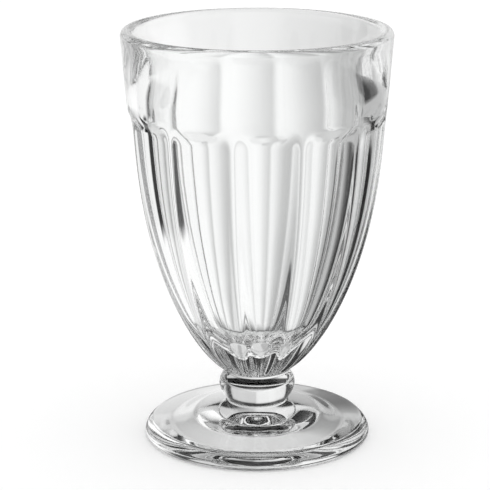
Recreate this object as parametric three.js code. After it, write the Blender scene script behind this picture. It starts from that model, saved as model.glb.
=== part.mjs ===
// Dessert glass: a heavy pressed glass for ice cream, in three pieces welded hot:
// a deep bowl with twelve hollow flutes, a low round knop, and a wide domed foot.
// Millimetres, +Z up. The origin is the centre of the ring that the foot stands on.
// The glass has no front: a flute faces each of the axes X and Y.
import * as THREE from 'three';

// Heights, stacked from the table to the rim: 150 mm in all
const footHeight = 13.2;
const knopHeight = 11.3;
const bellyHeight = 88.5;
const bandHeight = 37.0;

// Bowl, outside: radii on the ridges between the flutes
const bowlSeatRadius = 11.1;
const bellyRadius = 45.3;
const rimRadius = 48.0;
const bellyRoundness = 2.33;
const bellyFullness = 0.737;

// Bowl, inside
const lipThickness = 4.5;
const wallThickness = 7.8;
const flareHeight = 20.0;
const floorThickness = 11.3;
const floorRoundHeight = 12.0;

// Flutes: hollow channels pressed into the wall, side by side, below a plain band
const fluteCount = 12;
const fluteDepth = 2.2;
const fluteDepthTaper = 0.25;
const fluteTopBelowRim = 27.3;
const fluteCornerRadius = 4.6;
const fluteRunIn = 6.5;
const fluteStartHeight = 2.5;
const ridgeSoftness = 1.5;

// Knop: a low barrel between bowl and foot, fullest a little above its middle
const knopFullRadius = 13.8;
const knopFullShare = 0.585;

// Foot: a domed disc, widest close to the table, with a bowed edge that leans in to a crease
const footRadius = 41.1;
const footSeatRadius = 10.8;
const footWidestHeight = 1.6;
const footCreaseHeight = 5.8;
const edgeUndercut = 1.6;
const edgeLean = 2.7;
const edgeFullness = 1.8;
const domeHollowness = 1.2;

// Underside: a flat ring to stand on, a shallow hollow, and a plain round button in its middle
const restRingInnerRadius = 31.5;
const hollowHeight = 2.2;
const hollowTopRadius = 20.0;
const buttonRadius = 12.8;
const buttonSlope = 0.8;
const buttonDrop = 0.3;

// Facets
const stepsPerFlute = 6;
const stepsAround = fluteCount * stepsPerFlute;
const bellyRings = 12;
const shoulderRings = 7;
const bandRings = 2;
const lipSteps = 6;
const flareRings = 4;
const wallRings = 8;
const floorRings = 5;
const knopSteps = 9;
const undercutSteps = 3;
const edgeSteps = 5;
const domeSteps = 7;
const hollowSteps = 5;

// Levels that follow from the stack
const footTop = footHeight;
const bowlSeat = footTop + knopHeight;
const bellyTop = bowlSeat + bellyHeight;
const rimTop = bellyTop + bandHeight;
const lipRadius = lipThickness / 2;
const lipCentreHeight = rimTop - lipRadius;
const lipCentreRadius = rimRadius - lipRadius;
const fluteTop = rimTop - fluteTopBelowRim;
const floorLevel = bowlSeat + floorThickness;
const fluteSpan = (2 * Math.PI) / fluteCount;

// An even walk of count steps from one value to another, both ends included
function walk(from, to, count) {
  return Array.from({ length: count + 1 }, (_, i) => from + ((to - from) * i) / count);
}

function smoothstep(share) {
  return THREE.MathUtils.smoothstep(share, 0, 1);
}

// Radius of the bowl on a ridge. A straight taper runs from the seat to the rim, and the belly
// swells out of it below bellyTop: 1 - (1 - share) ^ roundness, raised to the fullness.
function ridgeRadius(height) {
  const share = Math.max(0, (height - bowlSeat) / bellyHeight);
  const taper = ((rimRadius - bellyRadius) * bellyHeight) / (lipCentreHeight - bellyTop);
  const swell = bellyRadius - bowlSeatRadius - taper;
  const rise = 1 - Math.pow(1 - Math.min(1, share), bellyRoundness);
  return bowlSeatRadius + taper * share + swell * Math.pow(rise, bellyFullness);
}

// Share of a flute's depth across it: a parabola, deepest in its middle, that turns over
// softly at the ridge. Across runs from nothing in the middle to one on the ridge.
function fluteProfile(across, halfWidth) {
  const soft = Math.min(0.9, ridgeSoftness / halfWidth);
  const flank = 1 - soft;
  const beyond = Math.max(0, across - flank);
  const inner = Math.min(across, flank);
  const fall = inner * inner + 2 * flank * (beyond - (beyond * beyond) / (2 * soft));
  return 1 - fall / (flank * flank + flank * soft);
}

// Depth of the flutes at an angle and a height. Up, a flute starts at the bowl's seat, grows a
// little with the bowl's radius, and ends below the band in a shoulder with round corners.
function fluteDepthAt(angle, height) {
  const turn = angle / fluteSpan;
  const across = 2 * Math.abs(turn - Math.round(turn));
  const radius = ridgeRadius(height);
  const halfWidth = (radius * fluteSpan) / 2;
  const intoCorner = Math.max(0, across * halfWidth - (halfWidth - fluteCornerRadius));
  const cornerShare = Math.min(1, intoCorner / fluteCornerRadius);
  const cornerDrop = fluteCornerRadius * (1 - Math.sqrt(1 - cornerShare * cornerShare));
  const below = (fluteTop - cornerDrop - height) / fluteRunIn;
  const above = (height - bowlSeat) / fluteStartHeight;
  const middleDepth = fluteDepth * Math.pow(radius / rimRadius, fluteDepthTaper);
  return middleDepth * fluteProfile(across, halfWidth) * smoothstep(below) * smoothstep(above);
}

// Radial thickness of the wall on a ridge, growing from the lip down to the plain wall
function wallAt(height) {
  const share = THREE.MathUtils.clamp((lipCentreHeight - height) / flareHeight, 0, 1);
  return lipThickness + (wallThickness - lipThickness) * Math.sin((share * Math.PI) / 2);
}

// Radius of the round inside of the bowl, above its curved floor
function insideRadius(height) {
  return ridgeRadius(height) - wallAt(height);
}

// A ring of points about the axis, its radius a function of the angle
function ring(radiusAt, height) {
  return Array.from({ length: stepsAround }, (_, i) => {
    const angle = (i * 2 * Math.PI) / stepsAround;
    const radius = radiusAt(angle);
    return [radius * Math.cos(angle), radius * Math.sin(angle), height];
  });
}

// A closed skin through rings of equal count, from a point on the axis to another one
function loft(startHeight, rings, endHeight) {
  const positions = [[0, 0, startHeight], ...rings.flat(), [0, 0, endHeight]].flat();
  const count = stepsAround;
  const at = (row, i) => 1 + row * count + (i % count);
  const endIndex = 1 + rings.length * count;
  const index = [];
  for (let i = 0; i < count; i += 1) {
    index.push(0, at(0, i + 1), at(0, i));
    for (let row = 0; row + 1 < rings.length; row += 1) {
      index.push(at(row, i), at(row, i + 1), at(row + 1, i + 1));
      index.push(at(row, i), at(row + 1, i + 1), at(row + 1, i));
    }
    index.push(at(rings.length - 1, i), at(rings.length - 1, i + 1), endIndex);
  }
  const geometry = new THREE.BufferGeometry();
  geometry.setAttribute('position', new THREE.Float32BufferAttribute(positions, 3));
  geometry.setIndex(index);
  geometry.computeVertexNormals();
  return geometry;
}

// A solid of revolution about Z. The profile is a list of [radius, height] that runs
// from the axis below, round the outside, to the axis above.
function revolve(profile) {
  const points = profile.map(([radius, height]) => new THREE.Vector2(radius, height));
  return new THREE.LatheGeometry(points, stepsAround).rotateX(Math.PI / 2);
}

// Heights of the rings on the outside of the bowl: close together where the belly turns
// in above the seat and over the shoulder of the flutes
function outsideHeights() {
  const shoulderFoot = fluteTop - fluteCornerRadius - fluteRunIn;
  const belly = walk(0, 1, bellyRings).map(
    (share) => bowlSeat + (shoulderFoot - bowlSeat) * Math.pow(share, 1.6),
  );
  const shoulder = walk(shoulderFoot, fluteTop, shoulderRings).slice(1);
  const band = walk(fluteTop, lipCentreHeight, bandRings + 1).slice(1, -1);
  return [...belly, ...shoulder, ...band];
}

function makeBowl() {
  const outside = outsideHeights().map((height) =>
    ring((angle) => ridgeRadius(height) - fluteDepthAt(angle, height), height),
  );
  const lip = walk(0, Math.PI, lipSteps).map((turn) =>
    ring(() => lipCentreRadius + lipRadius * Math.cos(turn), lipCentreHeight + lipRadius * Math.sin(turn)),
  );
  const flareFoot = lipCentreHeight - flareHeight;
  const floorTop = floorLevel + floorRoundHeight;
  const wallHeights = [
    ...walk(lipCentreHeight, flareFoot, flareRings).slice(1),
    ...walk(flareFoot, floorTop, wallRings).slice(1),
  ];
  const wall = wallHeights.map((height) => ring(() => insideRadius(height), height));
  const floor = walk(0, Math.PI / 2, floorRings)
    .slice(1, -1)
    .map((turn) => {
      const height = floorTop - floorRoundHeight * Math.sin(turn);
      return ring(() => insideRadius(height) * Math.cos(turn), height);
    });
  return loft(bowlSeat, [...outside, ...lip, ...wall, ...floor], floorLevel);
}

// The knop's side falls from its fullest line to each seat by a parabola
function makeKnop() {
  const side = walk(0, 1, knopSteps).map((share) => {
    const isBelow = share < knopFullShare;
    const seatRadius = isBelow ? footSeatRadius : bowlSeatRadius;
    const reach = isBelow ? knopFullShare : 1 - knopFullShare;
    const fall = ((share - knopFullShare) / reach) ** 2;
    return [knopFullRadius - (knopFullRadius - seatRadius) * fall, footTop + knopHeight * share];
  });
  return revolve([[0, footTop], ...side, [0, bowlSeat]]);
}

// Underside of the foot, from the axis to the inner line of the resting ring
function underside() {
  const button = [
    [0, hollowHeight - buttonDrop],
    [buttonRadius - buttonSlope, hollowHeight - buttonDrop],
    [buttonRadius, hollowHeight],
  ];
  const hollow = walk(0, 1, hollowSteps).map((share) => [
    hollowTopRadius + (restRingInnerRadius - hollowTopRadius) * share,
    hollowHeight * (1 - smoothstep(share)),
  ]);
  return [...button, ...hollow];
}

// Edge of the foot: a quarter ellipse out to its widest line, then a bowed wall in to the crease
function footEdge() {
  const standRadius = footRadius - edgeUndercut;
  const undercut = walk(0, Math.PI / 2, undercutSteps).map((turn) => [
    standRadius + edgeUndercut * Math.sin(turn),
    footWidestHeight * (1 - Math.cos(turn)),
  ]);
  const wall = walk(0, 1, edgeSteps)
    .slice(1)
    .map((share) => [
      footRadius - edgeLean * Math.pow(share, edgeFullness),
      footWidestHeight + (footCreaseHeight - footWidestHeight) * share,
    ]);
  return [...undercut, ...wall];
}

// The foot: underside, resting ring, edge, and the dome up to the knop
function makeFoot() {
  const creaseRadius = footRadius - edgeLean;
  const dome = walk(0, 1, domeSteps)
    .slice(1)
    .map((share) => [
      creaseRadius + (footSeatRadius - creaseRadius) * share,
      footCreaseHeight + (footTop - footCreaseHeight) * Math.pow(share, domeHollowness),
    ]);
  return revolve([...underside(), ...footEdge(), ...dome, [0, footTop]]);
}

// Clear soda-lime glass, each piece with a material of its own
function clearGlass() {
  return new THREE.MeshStandardMaterial({
    color: 0xf4f7f6,
    roughness: 0.03,
    metalness: 0,
    transparent: true,
    opacity: 0.35,
  });
}

const group = new THREE.Group();
const makers = { bowl: makeBowl, knop: makeKnop, foot: makeFoot };
for (const [name, make] of Object.entries(makers)) {
  const mesh = new THREE.Mesh(make(), clearGlass());
  mesh.name = name;
  group.add(mesh);
}

export default group;
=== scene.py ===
"""Footed dessert glass: a heavy pressed bowl with twelve hollow flutes, a round knop and a domed foot.

The three solids of the model are welded hot in the real glass, so light runs from one into the next.
Here one unbroken skin stands for them, from the underside of the foot up to the rim and down inside
the bowl. Everything is in metres, with the ring that the foot stands on at height zero.
"""

import logging
import math
from dataclasses import dataclass, field
from enum import Enum

import bpy
import numpy as np
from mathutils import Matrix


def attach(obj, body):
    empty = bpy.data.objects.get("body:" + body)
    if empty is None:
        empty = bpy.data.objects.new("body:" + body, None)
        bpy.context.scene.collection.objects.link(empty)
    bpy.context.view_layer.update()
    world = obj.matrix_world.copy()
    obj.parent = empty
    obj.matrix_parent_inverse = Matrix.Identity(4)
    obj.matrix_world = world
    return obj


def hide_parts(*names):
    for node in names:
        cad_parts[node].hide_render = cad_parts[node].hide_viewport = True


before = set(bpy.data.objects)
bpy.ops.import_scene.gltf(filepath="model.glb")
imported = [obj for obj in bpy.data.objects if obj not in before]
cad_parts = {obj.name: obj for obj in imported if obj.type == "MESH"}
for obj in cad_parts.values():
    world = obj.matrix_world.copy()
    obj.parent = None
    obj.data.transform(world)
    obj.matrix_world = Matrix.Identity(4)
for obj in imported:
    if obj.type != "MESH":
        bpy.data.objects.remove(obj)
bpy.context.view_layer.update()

LOG = logging.getLogger("dessert_glass")
MM = 0.001
HALF_TURN = math.pi
QUARTER_TURN = math.pi / 2.0
WHITE = (1.0, 1.0, 1.0, 1.0)
LIGHT_BOUNCES = 24

# The camera stands this far to the left of the middle of a flute, and the studio is turned with it.
VIEW_TURN = math.radians(4.7)

# Soft steps of a painted shade that lie past every place on the paper, so that it has no edge there.
ALL_ROUND = (-190.0, -185.0, 185.0, 190.0)
FROM_THE_AXIS = (-0.2, -0.1)
TO_THE_HORIZON = (9.0, 9.1)

Socket = bpy.types.NodeSocket
Value = bpy.types.NodeSocket | float


def ease(share: np.ndarray) -> np.ndarray:
    """Soft step, three times the square less twice the cube, held between zero and one."""
    held = np.clip(share, 0.0, 1.0)
    return held * held * (3.0 - 2.0 * held)


def steps(start: float, end: float, count: int) -> np.ndarray:
    """An even walk of this many steps, without its start and with its end."""
    return np.linspace(start, end, count + 1)[1:]


def stack(angles: np.ndarray, radii: np.ndarray, heights: np.ndarray) -> np.ndarray:
    """Points of a skin round the axis.

    Point (i, j) stands at height i, turned by angle j from the front towards the right, and as far
    from the axis as radius (i, j).

    Args:
        angles: Turns of the columns, in radians.
        radii: One radius a row, or one a row and column.
        heights: One height a row.

    Returns:
        An array of rows by columns by three coordinates.
    """
    by_row = radii if np.ndim(radii) == 2 else np.asarray(radii)[:, None]
    wide = np.broadcast_to(by_row, (len(heights), len(angles)))
    tall = np.broadcast_to(np.asarray(heights)[:, None], wide.shape)
    return np.stack([wide * np.sin(angles), -wide * np.cos(angles), tall], axis=-1)


@dataclass
class FluteRow:
    """The ring of hollow flutes pressed into the outside of the bowl, side by side below a plain band."""

    count: int = 12
    depth: float = 2.2 * MM
    depth_taper: float = 0.25
    top: float = 122.7 * MM
    foot_fade: float = 2.5 * MM
    corner: float = 4.6 * MM
    run_in: float = 6.5 * MM
    ridge_softness: float = 1.5 * MM
    most_ridge_share: float = 0.9
    columns: int = 28
    crowding: float = 0.5

    @property
    def span(self) -> float:
        """Angle that one flute takes."""
        return 2.0 * HALF_TURN / self.count

    def columns_around(self) -> np.ndarray:
        """Turns of the mesh columns, crowded towards the ridges, where the skin bends most.

        Within a flute the turn is a blend of an even walk and a quarter-sine walk from its middle to
        each ridge.

        Returns:
            The turns of all the columns, in radians, with a flute at the middle of the front.
        """
        step = (np.arange(self.columns) / self.columns) * 2.0 - 1.0
        across = (1.0 - self.crowding) * step + self.crowding * np.sin(step * QUARTER_TURN)
        centres = np.arange(self.count) * self.span
        return (centres[:, None] + across[None, :] * self.span / 2.0).ravel()

    def hollow(
        self, angles: np.ndarray, heights: np.ndarray, ridge_radii: np.ndarray, seat: float
    ) -> np.ndarray:
        """How far the flutes lie inside the ridges.

        Across a flute the depth is a parabola that turns over softly at the ridge. Up the flute it
        fades in above the bowl's seat, and fades out below a top edge with round corners.

        Args:
            angles: Turns of the columns.
            heights: Heights of the rows.
            ridge_radii: Radius of the ridges at each row.
            seat: Height at which the bowl starts.

        Returns:
            Depths, rows by columns.
        """
        turn = angles / self.span
        across = 2.0 * np.abs(turn - np.round(turn))[None, :]
        half_width = (ridge_radii * self.span / 2.0)[:, None]
        soft = np.minimum(self.most_ridge_share, self.ridge_softness / half_width)
        flank = 1.0 - soft
        beyond = across - flank
        turned_over = flank**2 + 2.0 * flank * (beyond - beyond**2 / (2.0 * soft))
        profile = 1.0 - np.where(beyond < 0.0, across**2, turned_over) / (flank**2 + flank * soft)
        into_corner = np.maximum(0.0, across * half_width - (half_width - self.corner)) / self.corner
        drop = self.corner * (1.0 - np.sqrt(1.0 - np.minimum(1.0, into_corner) ** 2))
        below_top = (self.top - drop - heights[:, None]) / self.run_in
        above_seat = (heights[:, None] - seat) / self.foot_fade
        full = self.depth * (ridge_radii / ridge_radii.max())[:, None] ** self.depth_taper
        return full * profile * ease(below_top) * ease(above_seat)


@dataclass
class Bowl:
    """The deep bowl: a bell outside, fluted up to a plain band, and a smooth round well inside."""

    seat: float = 24.5 * MM
    belly_height: float = 88.5 * MM
    rim_height: float = 150.0 * MM
    seat_radius: float = 11.1 * MM
    belly_radius: float = 45.3 * MM
    rim_radius: float = 48.0 * MM
    roundness: float = 2.33
    fullness: float = 0.737
    lip: float = 4.5 * MM
    wall: float = 7.8 * MM
    flare: float = 20.0 * MM
    floor: float = 11.3 * MM
    floor_round: float = 12.0 * MM
    shoulder_below: float = 9.0 * MM
    shoulder_above: float = 0.4 * MM
    belly_crowding: float = 1.3
    belly_rows: int = 67
    shoulder_rows: int = 31
    band_rows: int = 11
    lip_rows: int = 19
    wall_rows: int = 33
    floor_rows: int = 25
    flutes: FluteRow = field(default_factory=FluteRow)

    @property
    def lip_centre(self) -> float:
        """Height of the middle of the round lip."""
        return self.rim_height - self.lip / 2.0

    def ridge_radius(self, heights: np.ndarray) -> np.ndarray:
        """Radius of the bell on the ridges.

        The seat radius, plus an even taper, plus a swell. The swell grows as one less a power of the
        share of the belly that is left, and that is raised to the fullness.

        Args:
            heights: Heights above the table.

        Returns:
            One radius a height.
        """
        rise = (heights - self.seat) / self.belly_height
        reach = (self.lip_centre - self.seat - self.belly_height) / self.belly_height
        taper = (self.rim_radius - self.belly_radius) / reach
        swell = self.belly_radius - self.seat_radius - taper
        filled = 1.0 - (1.0 - np.clip(rise, 0.0, 1.0)) ** self.roundness
        return self.seat_radius + taper * np.maximum(0.0, rise) + swell * filled**self.fullness

    def inside_radius(self, heights: np.ndarray) -> np.ndarray:
        """Radius of the well: the ridges less a wall that thickens below the lip as a quarter sine."""
        share = np.clip((self.lip_centre - heights) / self.flare, 0.0, 1.0)
        return self.ridge_radius(heights) - self.lip - (self.wall - self.lip) * np.sin(share * QUARTER_TURN)

    def outside(self, angles: np.ndarray) -> np.ndarray:
        """Skin from the seat up to the lip: the ridges less the flutes.

        The rows are crowded low on the belly, by a power of their share, and at the flute tops.

        Args:
            angles: Turns of the columns.

        Returns:
            The rows from above the seat to the lip.
        """
        start = self.flutes.top - self.shoulder_below
        end = self.flutes.top + self.shoulder_above
        heights = np.concatenate([
            self.seat + (start - self.seat) * steps(0.0, 1.0, self.belly_rows) ** self.belly_crowding,
            steps(start, end, self.shoulder_rows),
            steps(end, self.lip_centre, self.band_rows),
        ])
        ridges = self.ridge_radius(heights)
        hollows = self.flutes.hollow(angles, heights, ridges, self.seat)
        return stack(angles, ridges[:, None] - hollows, heights)

    def rim(self, angles: np.ndarray) -> np.ndarray:
        """Skin over the lip: a half circle from outside to inside.

        Args:
            angles: Turns of the columns.

        Returns:
            The rows over the lip.
        """
        turn = steps(0.0, HALF_TURN, self.lip_rows)
        half = self.lip / 2.0
        radii = self.rim_radius - half + half * np.cos(turn)
        return stack(angles, radii, self.lip_centre + half * np.sin(turn))

    def inside(self, angles: np.ndarray) -> np.ndarray:
        """Skin down the well, and over its round floor.

        Down to the floor's round it keeps the inside radius. From there the radius also shrinks by a
        cosine, as the height falls by a sine.

        Args:
            angles: Turns of the columns.

        Returns:
            The rows from the lip to the middle of the floor.
        """
        floor_top = self.seat + self.floor + self.floor_round
        wall = steps(self.lip_centre, floor_top, self.wall_rows)
        turn = steps(0.0, QUARTER_TURN, self.floor_rows)
        rounded = floor_top - self.floor_round * np.sin(turn)
        radii = np.concatenate([self.inside_radius(wall), self.inside_radius(rounded) * np.cos(turn)])
        return stack(angles, radii, np.concatenate([wall, rounded]))


@dataclass
class Knop:
    """The low round barrel between the bowl and the foot, fullest a little above its middle."""

    base: float = 13.2 * MM
    height: float = 11.3 * MM
    base_radius: float = 10.8 * MM
    top_radius: float = 11.1 * MM
    full_radius: float = 13.8 * MM
    full_share: float = 0.585
    rows: int = 21

    def skin(self, angles: np.ndarray) -> np.ndarray:
        """Skin from the foot up to the bowl.

        Two parabolas that meet at the fullest line and fall to both seams.

        Args:
            angles: Turns of the columns.

        Returns:
            The rows from above the foot to the bowl.
        """
        share = steps(0.0, 1.0, self.rows)
        full = self.full_share
        below = (self.full_radius - self.base_radius) * ((full - share) / full) ** 2
        above = (self.full_radius - self.top_radius) * ((share - full) / (1.0 - full)) ** 2
        radii = self.full_radius - np.where(share < full, below, above)
        return stack(angles, radii, self.base + self.height * share)


@dataclass
class Foot:
    """The wide domed foot, hollow underneath, so that it stands on a ring round a plain button."""

    radius: float = 41.1 * MM
    top_radius: float = 10.8 * MM
    top: float = 13.2 * MM
    widest: float = 1.6 * MM
    stand_radius: float = 39.5 * MM
    crease_radius: float = 38.4 * MM
    crease: float = 5.8 * MM
    wall_fullness: float = 1.8
    hollowness: float = 1.2
    ring_inside: float = 31.5 * MM
    hollow_height: float = 2.2 * MM
    hollow_radius: float = 20.0 * MM
    button_radius: float = 12.8 * MM
    button_slope: float = 0.8 * MM
    button_drop: float = 0.3 * MM
    button_rows: int = 6
    hollow_rows: int = 14
    undercut_rows: int = 9
    edge_rows: int = 17
    dome_rows: int = 33

    def underside(self, angles: np.ndarray) -> np.ndarray:
        """Skin below: a point on the axis, the flat button, its eased side, and the eased fall to the ring.

        Args:
            angles: Turns of the columns.

        Returns:
            The rows from the axis to the ring's inner line.
        """
        button = self.hollow_height - self.button_drop
        side = np.linspace(0.0, 1.0, self.button_rows)
        fall = np.linspace(0.0, 1.0, self.hollow_rows)
        flat = self.button_radius - self.button_slope
        radii = np.concatenate([
            [0.0, flat / 2.0],
            flat + self.button_slope * side,
            self.hollow_radius + (self.ring_inside - self.hollow_radius) * fall,
        ])
        heights = np.concatenate([
            [button, button],
            button + self.button_drop * ease(side),
            self.hollow_height * (1.0 - ease(fall)),
        ])
        return stack(angles, radii, heights)

    def edge_and_dome(self, angles: np.ndarray) -> np.ndarray:
        """Skin above: a quarter ellipse out to the widest line, a bowed wall in to the crease, and the dome.

        The wall leans in by a power of its rise, and the dome rises by a power of the way to the knop.

        Args:
            angles: Turns of the columns.

        Returns:
            The rows from the ring to the knop.
        """
        turn = np.linspace(0.0, QUARTER_TURN, self.undercut_rows)
        rise = steps(0.0, 1.0, self.edge_rows)
        share = steps(0.0, 1.0, self.dome_rows)
        radii = np.concatenate([
            self.stand_radius + (self.radius - self.stand_radius) * np.sin(turn),
            self.radius - (self.radius - self.crease_radius) * rise**self.wall_fullness,
            self.crease_radius + (self.top_radius - self.crease_radius) * share,
        ])
        heights = np.concatenate([
            self.widest * (1.0 - np.cos(turn)),
            self.widest + (self.crease - self.widest) * rise,
            self.crease + (self.top - self.crease) * share**self.hollowness,
        ])
        return stack(angles, radii, heights)


class NodeSheet:
    """A node tree with short words for the few sums that the finish and the studio need."""

    def __init__(self, tree: bpy.types.NodeTree) -> None:
        """Keeps the tree that the nodes go into."""
        self.tree = tree

    def add(self, kind: str) -> bpy.types.Node:
        """A new node of this kind."""
        return self.tree.nodes.new(kind)

    def join(self, source: Value, target: Socket) -> None:
        """Links a socket to another, or sets a plain number on it."""
        if isinstance(source, (int, float)):
            target.default_value = source
        else:
            self.tree.links.new(source, target)

    def maths(self, kind: str, first: Value, second: Value = 0.0) -> Socket:
        """One Math node.

        Args:
            kind: Name of the operation.
            first: First number or socket.
            second: Second number or socket.

        Returns:
            The result's socket.
        """
        node = self.add("ShaderNodeMath")
        node.operation = kind
        self.join(first, node.inputs[0])
        self.join(second, node.inputs[1])
        return node.outputs[0]

    def sum(self, first: Value, second: Value) -> Socket:
        """First plus second."""
        return self.maths("ADD", first, second)

    def less(self, first: Value, second: Value) -> Socket:
        """First minus second."""
        return self.maths("SUBTRACT", first, second)

    def times(self, first: Value, second: Value) -> Socket:
        """First times second."""
        return self.maths("MULTIPLY", first, second)

    def fade(self, value: Socket, start: float, end: float, first: float, last: float) -> Socket:
        """A soft step of a value.

        Args:
            value: The socket that is followed.
            start: Value, lower than end, up to which the result is first.
            end: Value from which the result is last.
            first: Result below start.
            last: Result above end.

        Returns:
            The result's socket.
        """
        node = self.add("ShaderNodeMapRange")
        node.interpolation_type = "SMOOTHSTEP"
        for socket, number in zip(node.inputs, (value, start, end, first, last)):
            self.join(number, socket)
        return node.outputs[0]

    def noise(self, place: Socket, scale: float, detail: float) -> Socket:
        """Noise over a place.

        Args:
            place: Socket of the place.
            scale: Waves a metre.
            detail: How many finer layers it has.

        Returns:
            The noise's socket.
        """
        node = self.add("ShaderNodeTexNoise")
        self.join(place, node.inputs["Vector"])
        node.inputs["Scale"].default_value = scale
        node.inputs["Detail"].default_value = detail
        return node.outputs["Fac"]

    def turned(self, coordinates: str, angle: float) -> tuple[Socket, Socket, Socket]:
        """A place turned about the upright axis.

        Args:
            coordinates: Name of the coordinates that give the place.
            angle: Turn in radians.

        Returns:
            The sockets of how far it lies to the right, how far behind, and how high.
        """
        node = self.add("ShaderNodeMapping")
        node.inputs["Rotation"].default_value[2] = angle
        self.join(self.add("ShaderNodeTexCoord").outputs[coordinates], node.inputs["Vector"])
        split = self.add("ShaderNodeSeparateXYZ")
        self.join(node.outputs["Vector"], split.inputs[0])
        return tuple(split.outputs)

    def bearing(self, right: Socket, deep: Socket) -> Socket:
        """Degrees from straight ahead, towards the right."""
        return self.maths("DEGREES", self.maths("ARCTAN2", right, deep))

    def through_glass(self) -> Socket:
        """Tells the light that the glass passes on or mirrors from the light that lit the paper.

        Returns:
            The socket of one for light by way of the glass alone, and of zero for the rest.
        """
        path = self.add("ShaderNodeLightPath")
        glassy = self.maths("MAXIMUM", path.outputs["Is Transmission Ray"], path.outputs["Is Glossy Ray"])
        return self.times(glassy, self.less(1.0, self.maths("MINIMUM", path.outputs["Diffuse Depth"], 1.0)))


@dataclass(frozen=True)
class ClearGlass:
    """Clear pressed glass: polished by fire, with the faint waves that the mould leaves."""

    tint: tuple[float, float, float] = (0.985, 0.99, 0.988)
    bend: float = 1.5
    wave_size: float = 14.0 * MM
    wave_height: float = 0.05 * MM
    wave_detail: float = 1.0
    grain_size: float = 2.2 * MM
    grain_detail: float = 2.0
    grain_share: float = 0.06

    def material(self) -> bpy.types.Material:
        """The glass as nodes: a clear surface whose normal is bent by two layers of noise.

        Returns:
            The new material.
        """
        made = bpy.data.materials.new("clear_glass")
        made.use_nodes = True
        sheet = NodeSheet(made.node_tree)
        glass = made.node_tree.nodes["Principled BSDF"]
        glass.inputs["Base Color"].default_value = (*self.tint, 1.0)
        glass.inputs["Roughness"].default_value = 0.0
        glass.inputs["IOR"].default_value = self.bend
        glass.inputs["Transmission Weight"].default_value = 1.0
        place = sheet.add("ShaderNodeTexCoord").outputs["Object"]
        waves = sheet.noise(place, 1.0 / self.wave_size, self.wave_detail)
        grain = sheet.noise(place, 1.0 / self.grain_size, self.grain_detail)
        bump = sheet.add("ShaderNodeBump")
        bump.inputs["Strength"].default_value = 1.0
        bump.inputs["Distance"].default_value = self.wave_height
        sheet.join(sheet.sum(waves, sheet.times(grain, self.grain_share)), bump.inputs["Height"])
        sheet.join(bump.outputs["Normal"], glass.inputs["Normal"])
        return made


class SkinMaker:
    """Turns rows of points into one closed mesh."""

    @staticmethod
    def closed(name: str, rows: np.ndarray) -> bpy.types.Object:
        """A closed skin whose first and last rows are points on the axis.

        Each belt between two rows is cells of four corners, and each pole is a fan of triangles.

        Args:
            name: Name of the piece.
            rows: Rows by columns by three coordinates, from the lowest pole round to the highest.

        Returns:
            The new object, at the origin.
        """
        count, around, _ = rows.shape
        belts = count - 3
        points = np.vstack([rows[0, 0], rows[1:-1].reshape(-1, 3), rows[-1, 0]])
        row = np.arange(belts)[:, None] * around
        here = np.arange(around)
        after = (here + 1) % around
        cells = 1 + np.stack([row + here, row + after, row + after + around, row + here + around], axis=-1)
        last = 1 + belts * around
        start_fan = np.stack([np.zeros(around, dtype=int), 1 + after, 1 + here], axis=-1)
        end_fan = np.stack([last + here, last + after, np.full(around, len(points) - 1)], axis=-1)
        mesh = bpy.data.meshes.new(name)
        faces = cells.reshape(-1, 4).tolist() + start_fan.tolist() + end_fan.tolist()
        mesh.from_pydata(points.tolist(), [], faces)
        mesh.polygons.foreach_set("use_smooth", np.ones(len(mesh.polygons), dtype=bool))
        mesh.update()
        piece = bpy.data.objects.new(name, mesh)
        bpy.context.scene.collection.objects.link(piece)
        return piece


@dataclass
class DessertGlass:
    """The whole glass: foot, knop and bowl under one skin."""

    foot: Foot = field(default_factory=Foot)
    knop: Knop = field(default_factory=Knop)
    bowl: Bowl = field(default_factory=Bowl)
    finish: ClearGlass = field(default_factory=ClearGlass)

    def skin(self) -> np.ndarray:
        """All the rows.

        Returns:
            The rows from the middle of the underside round to the middle of the bowl's floor.
        """
        angles = self.bowl.flutes.columns_around()
        parts = (
            self.foot.underside,
            self.foot.edge_and_dome,
            self.knop.skin,
            self.bowl.outside,
            self.bowl.rim,
            self.bowl.inside,
        )
        return np.concatenate([part(angles) for part in parts])

    def build(self) -> bpy.types.Object:
        """Builds the glass, dresses it and sets it in the frame.

        Returns:
            The piece that stands for the three solids.
        """
        piece = SkinMaker.closed("glass_skin", self.skin())
        piece.data.materials.append(self.finish.material())
        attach(piece, "root")
        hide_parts("bowl", "knop", "foot")
        LOG.info("%s: %d faces", piece.name, len(piece.data.polygons))
        return piece


class Facing(Enum):
    """Where the turn of a panel is measured from: straight ahead, or straight behind to either side."""

    AHEAD = "ahead"
    BEHIND = "behind"


@dataclass(frozen=True)
class Panel:
    """A lit panel with soft edges: where its middle stands, half its size in degrees, and its brightness."""

    facing: Facing
    turn: float
    half_width: float
    rise: float
    half_height: float
    level: float
    edge: float = 20.0

    def glow(self, sheet: NodeSheet, turn: Socket, rise: Socket) -> Socket:
        """Brightness: the level times e to minus the sum of both offsets raised to the edge's power.

        Args:
            sheet: Where its nodes go.
            turn: Degrees from straight ahead or straight behind.
            rise: Degrees above the horizon.

        Returns:
            The socket of its brightness.
        """
        across = sheet.maths("DIVIDE", sheet.less(turn, self.turn), self.half_width)
        up = sheet.maths("DIVIDE", sheet.less(rise, self.rise), self.half_height)
        powers = sheet.sum(
            sheet.maths("POWER", sheet.maths("ABSOLUTE", across), self.edge),
            sheet.maths("POWER", sheet.maths("ABSOLUTE", up), self.edge),
        )
        return sheet.times(sheet.maths("EXPONENT", sheet.times(powers, -1.0)), self.level)


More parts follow.
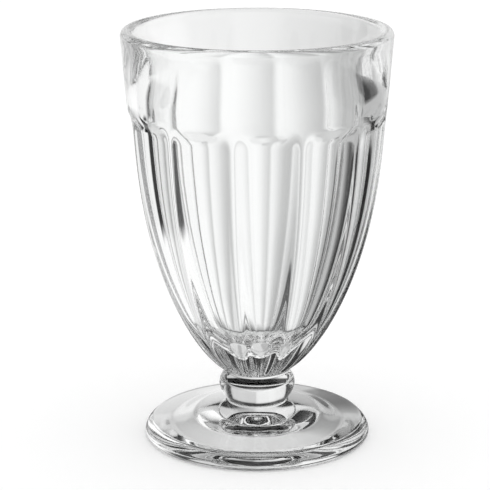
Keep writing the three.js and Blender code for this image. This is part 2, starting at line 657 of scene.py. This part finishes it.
@dataclass(frozen=True)
class Shade:
    """A soft patch of shade painted on the paper and seen only in the glass.

    Its turns, in degrees, and its reach, in metres, each tell where it starts, where it is full, until
    where it stays full and where it ends.
    """

    darkness: float
    turns: tuple[float, float, float, float]
    reach: tuple[float, float, float, float]

    def depth(self, sheet: NodeSheet, turn: Socket, away: Socket) -> Socket:
        """Darkness: soft steps up and down by turn and by distance, multiplied.

        Args:
            sheet: Where its nodes go.
            turn: Degrees from straight ahead, towards the right.
            away: Distance from the glass's axis.

        Returns:
            The socket of its darkness.
        """
        left, full_left, full_right, right = self.turns
        near, full_near, full_far, far = self.reach
        depth = sheet.fade(turn, left, full_left, 0.0, self.darkness)
        depth = sheet.times(depth, sheet.fade(turn, full_right, right, 1.0, 0.0))
        depth = sheet.times(depth, sheet.fade(away, near, full_near, 0.0, 1.0))
        return sheet.times(depth, sheet.fade(away, full_far, far, 1.0, 0.0))


@dataclass
class Studio:
    """White paper in even light. In the glass it has painted shades, and six panels lit in the dark."""

    heading: float = VIEW_TURN
    backdrop: float = 1.0
    floor_reach: float = 3.0
    floor_drop: float = 0.05 * MM
    paper_glow: float = 1.025
    paper_lift: float = 0.07
    # Painted shade on the paper, seen only in the glass: the right half is painted grey, like a shadow
    # falling there.
    painted_shade_right_half: Shade = Shade(0.52, (-15.0, 28.0, 102.0, 157.0), (*FROM_THE_AXIS, *TO_THE_HORIZON))
    # Painted shade: near-black sectors of the paper to the right and to the left, seen only in the glass.
    painted_dark_right_sector: Shade = Shade(0.98, (23.5, 38.0, 59.0, 104.0), (0.02, 0.03, 0.38, 0.50))
    painted_dark_left_sector: Shade = Shade(0.97, (-87.5, -79.5, -60.0, -52.0), (0.170, 0.208, *TO_THE_HORIZON))
    # Painted shadow of the glass on the paper, seen only in the glass: a dark ring round the foot and a grey
    # patch under it.
    painted_shadow_round_the_foot: Shade = Shade(0.98, (-98.0, -58.0, 111.0, 141.0), (0.037, 0.042, 0.044, 0.076))
    painted_shade_under_the_foot: Shade = Shade(0.28, ALL_ROUND, (*FROM_THE_AXIS, 0.040, 0.046))
    back_panel: Panel = Panel(Facing.AHEAD, -20.0, 23.0, 1.5, 20.3, 0.91)
    window_panel: Panel = Panel(Facing.AHEAD, 12.3, 23.0, 1.0, 20.0, 0.66)
    right_panel: Panel = Panel(Facing.AHEAD, 78.0, 27.7, 33.5, 32.0, 1.22, 6.0)
    left_panel: Panel = Panel(Facing.AHEAD, -95.0, 30.0, -2.0, 14.0, 0.8)
    front_panel: Panel = Panel(Facing.BEHIND, 0.0, 27.0, 14.0, 25.0, 1.0, 6.0)
    front_wall: Panel = Panel(Facing.BEHIND, 0.0, 80.0, 0.0, 16.0, 0.4)

    @property
    def shades(self) -> tuple[Shade, ...]:
        """All the shades painted on the paper."""
        return self.painted_shade_right_half, self.painted_dark_right_sector, self.painted_dark_left_sector, self.painted_shadow_round_the_foot, self.painted_shade_under_the_foot

    @property
    def panels(self) -> tuple[Panel, ...]:
        """All the lit panels."""
        ahead = (self.back_panel, self.window_panel, self.right_panel, self.left_panel)
        return *ahead, self.front_panel, self.front_wall

    def floor(self) -> bpy.types.Object:
        """The paper: a flat sheet just below the ring, with its painted shades seen only in the glass.

        Returns:
            The paper.
        """
        reach = self.floor_reach
        mesh = bpy.data.meshes.new("studio_floor")
        corners = [(x * reach, y * reach, -self.floor_drop) for x, y in ((-1, -1), (1, -1), (1, 1), (-1, 1))]
        mesh.from_pydata(corners, [], [(0, 1, 2, 3)])
        piece = bpy.data.objects.new("studio_floor", mesh)
        bpy.context.scene.collection.objects.link(piece)
        mesh.materials.append(self.paper())
        return piece

    def paper(self) -> bpy.types.Material:
        """Matt white paper with a faint glow of its own. Through the glass it glows, but for its painted
        shades.

        Returns:
            The new material.
        """
        made = bpy.data.materials.new("white_paper")
        made.use_nodes = True
        made.node_tree.nodes.clear()
        sheet = NodeSheet(made.node_tree)
        right, deep, _ = sheet.turned("Object", self.heading)
        away = sheet.maths("SQRT", sheet.sum(sheet.times(right, right), sheet.times(deep, deep)))
        turn = sheet.bearing(right, deep)
        # Seen through the glass, the paper's glow is darkened where shade is painted on it.
        darkest_painted_shade = 0.0
        for shade in self.shades:
            darkest_painted_shade = sheet.maths("MAXIMUM", darkest_painted_shade, shade.depth(sheet, turn, away))
        matt = sheet.add("ShaderNodeBsdfDiffuse")
        matt.inputs["Color"].default_value = WHITE
        lift = sheet.add("ShaderNodeEmission")
        lift.inputs["Strength"].default_value = self.paper_lift
        plain = sheet.add("ShaderNodeAddShader")
        sheet.join(matt.outputs[0], plain.inputs[0])
        sheet.join(lift.outputs[0], plain.inputs[1])
        lit = sheet.add("ShaderNodeEmission")
        sheet.join(sheet.times(sheet.less(1.0, darkest_painted_shade), self.paper_glow), lit.inputs["Strength"])
        mix = sheet.add("ShaderNodeMixShader")
        sheet.join(sheet.through_glass(), mix.inputs[0])
        sheet.join(plain.outputs[0], mix.inputs[1])
        sheet.join(lit.outputs[0], mix.inputs[2])
        out = sheet.add("ShaderNodeOutputMaterial")
        sheet.join(mix.outputs[0], out.inputs["Surface"])
        return made

    def world(self) -> None:
        """Even white light all round. In the glass it is seen as the lit panels in the dark."""
        world = bpy.data.worlds.new("studio")
        bpy.context.scene.world = world
        world.use_nodes = True
        sheet = NodeSheet(world.node_tree)
        light = world.node_tree.nodes["Background"]
        light.inputs["Color"].default_value = WHITE
        right, deep, tall = sheet.turned("Generated", self.heading)
        turn = sheet.bearing(right, deep)
        from_behind = sheet.less(math.degrees(HALF_TURN), sheet.maths("ABSOLUTE", turn))
        turns = {Facing.AHEAD: turn, Facing.BEHIND: from_behind}
        rise = sheet.maths("DEGREES", sheet.maths("ARCSINE", tall))
        room = 0.0
        for panel in self.panels:
            room = sheet.maths("MAXIMUM", room, panel.glow(sheet, turns[panel.facing], rise))
        path = sheet.through_glass()
        seen = sheet.sum(sheet.times(path, room), sheet.times(sheet.less(1.0, path), self.backdrop))
        sheet.join(seen, light.inputs["Strength"])

    def build(self) -> None:
        """Lays the paper and lights the room."""
        self.floor()
        self.world()
        LOG.info("studio: %d shades, %d panels", len(self.shades), len(self.panels))


@dataclass
class PictureCamera:
    """The camera: a long lens, a little above the glass and looking down at it."""

    turn: float = -VIEW_TURN
    distance: float = 0.700
    height: float = 0.2653
    pitch: float = 15.5
    lens: float = 148.19
    sensor: float = 36.0
    picture_pixels: float = 490.0
    shift_pixels: float = -12.0
    nearest: float = 0.01

    def place(self) -> bpy.types.Object:
        """Makes the camera and gives it to the scene.

        Returns:
            The camera.
        """
        data = bpy.data.cameras.new("picture_camera")
        data.sensor_width = self.sensor
        data.lens = self.lens
        data.shift_x = self.shift_pixels / self.picture_pixels
        data.clip_start = self.nearest
        camera = bpy.data.objects.new("picture_camera", data)
        bpy.context.scene.collection.objects.link(camera)
        across, towards = self.distance * math.sin(self.turn), self.distance * math.cos(self.turn)
        camera.location = (across, -towards, self.height)
        camera.rotation_euler = (math.radians(90.0 - self.pitch), 0.0, self.turn)
        bpy.context.scene.camera = camera
        return camera


def main() -> None:
    """Builds the glass, the studio and the camera, in that order."""
    logging.basicConfig(level=logging.INFO, format="%(name)s %(message)s")
    scene = bpy.context.scene
    scene.view_settings.view_transform = "Standard"
    scene.cycles.max_bounces = LIGHT_BOUNCES
    scene.cycles.transmission_bounces = LIGHT_BOUNCES
    scene.cycles.glossy_bounces = LIGHT_BOUNCES
    DessertGlass().build()
    Studio().build()
    PictureCamera().place()


if __name__ == "__main__":
    main()
